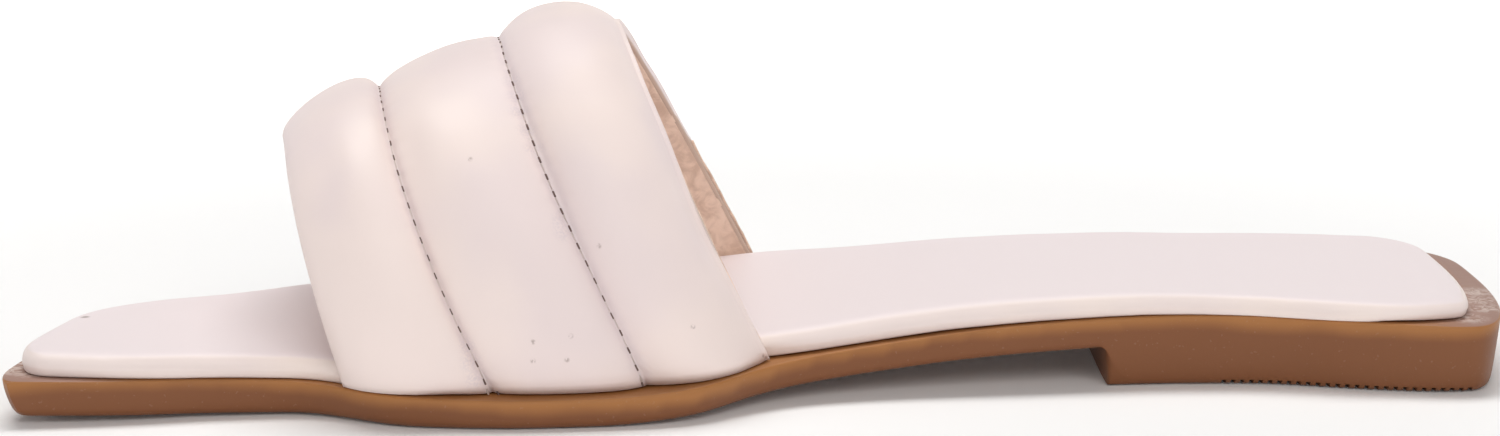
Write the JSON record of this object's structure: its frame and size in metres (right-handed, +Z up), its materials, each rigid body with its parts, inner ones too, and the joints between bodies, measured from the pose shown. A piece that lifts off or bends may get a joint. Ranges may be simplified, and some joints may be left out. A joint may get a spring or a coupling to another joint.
{
  "type": "flat slide sandal",
  "caption": "Flat slide sandal for the right foot: oblique square toe, low heel block, wrapped footbed and one wide padded band sewn in channels.",
  "frame": {"origin": "on the ground, under the middle of the shoe's length and width", "axes": "+X towards the heel, -X towards the toe, -Y the inner side of the foot, +Y the outer side, +Z up"},
  "size_m": [0.2564, 0.0908, 0.064],
  "materials": {
    "gum_rubber": "satin",
    "footbed_wrap": "satin",
    "smooth_blush": "semi-gloss"
  },
  "bodies": {
    "root": {"outsole": "gum_rubber", "footbed": "footbed_wrap", "upper_band": "smooth_blush"}
  },
  "joints": []
}
